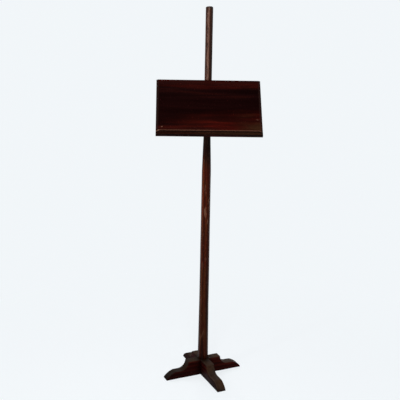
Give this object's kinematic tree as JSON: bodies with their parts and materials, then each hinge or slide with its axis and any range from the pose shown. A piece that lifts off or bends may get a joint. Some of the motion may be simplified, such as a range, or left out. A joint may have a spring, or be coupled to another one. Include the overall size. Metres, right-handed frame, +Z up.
{
  "type": "standing desk",
  "caption": "Tall pole reading desk: a sloped board with a moulded ledge slides and swivels on a round pole, held by a hand-screwed block, on a crossed stepped foot.",
  "frame": {"origin": "on the floor under the pole's axis", "axes": "+Z up along the pole, -Y the way the desk faces, +X to the reader's right"},
  "size_m": [0.437, 0.3788, 1.65],
  "materials": {
    "foot_wood": "worn dark stain, satin",
    "pole_wood": "red-brown polish, satin",
    "raw_wood": "bare, matt",
    "arm_wood": "dark stain, satin",
    "board_wood": "dark red-brown polish, satin",
    "ledge_wood": "dark polish worn on the nose",
    "back_wood": "thin stain, matt",
    "turned_wood": "polished by handling",
    "screw_steel": "dulled",
    "shoe_brass": "dulled"
  },
  "bodies": {
    "stand": {"side_foot_beam": "foot_wood", "front_foot_beam": "foot_wood", "pole": "pole_wood", "tenon_wedge": "raw_wood"},
    "collar": {"clamp_block": "arm_wood"},
    "desk": {"desk_board": "board_wood", "ledge": "ledge_wood", "left_batten": "back_wood", "right_batten": "back_wood", "centre_batten": "back_wood", "upper_arm": "arm_wood", "lower_arm": "arm_wood", "batten_screws": "screw_steel", "ledge_screws": "screw_steel", "arm_screws": "screw_steel"},
    "shoe": {"screw_shoe": "shoe_brass"},
    "screw": {"hand_screw": "turned_wood"}
  },
  "joints": [
    {"name": "height_slide", "type": "slide", "parent": "stand", "child": "collar", "axis": [0, 0, 1], "range_m": [-0.05, 0.3]},
    {"name": "desk_swivel", "type": "hinge", "parent": "collar", "child": "desk", "pos_m": [0, 0, 1.288], "axis": [0, 0, 1], "range_deg": [-90, 90]},
    {"name": "screw_travel", "type": "slide", "parent": "collar", "child": "shoe", "axis": [0, 1, 0], "range_m": [0, 0.006]},
    {"name": "screw_turn", "type": "hinge", "parent": "shoe", "child": "screw", "pos_m": [0, 0.05, 1.26803], "axis": [0, 1, 0], "range_deg": [0, 540]}
  ],
  "couplings": [
    {"joint": "screw_turn", "follows": "screw_travel", "rad_per_m": 1570.8}
  ]
}
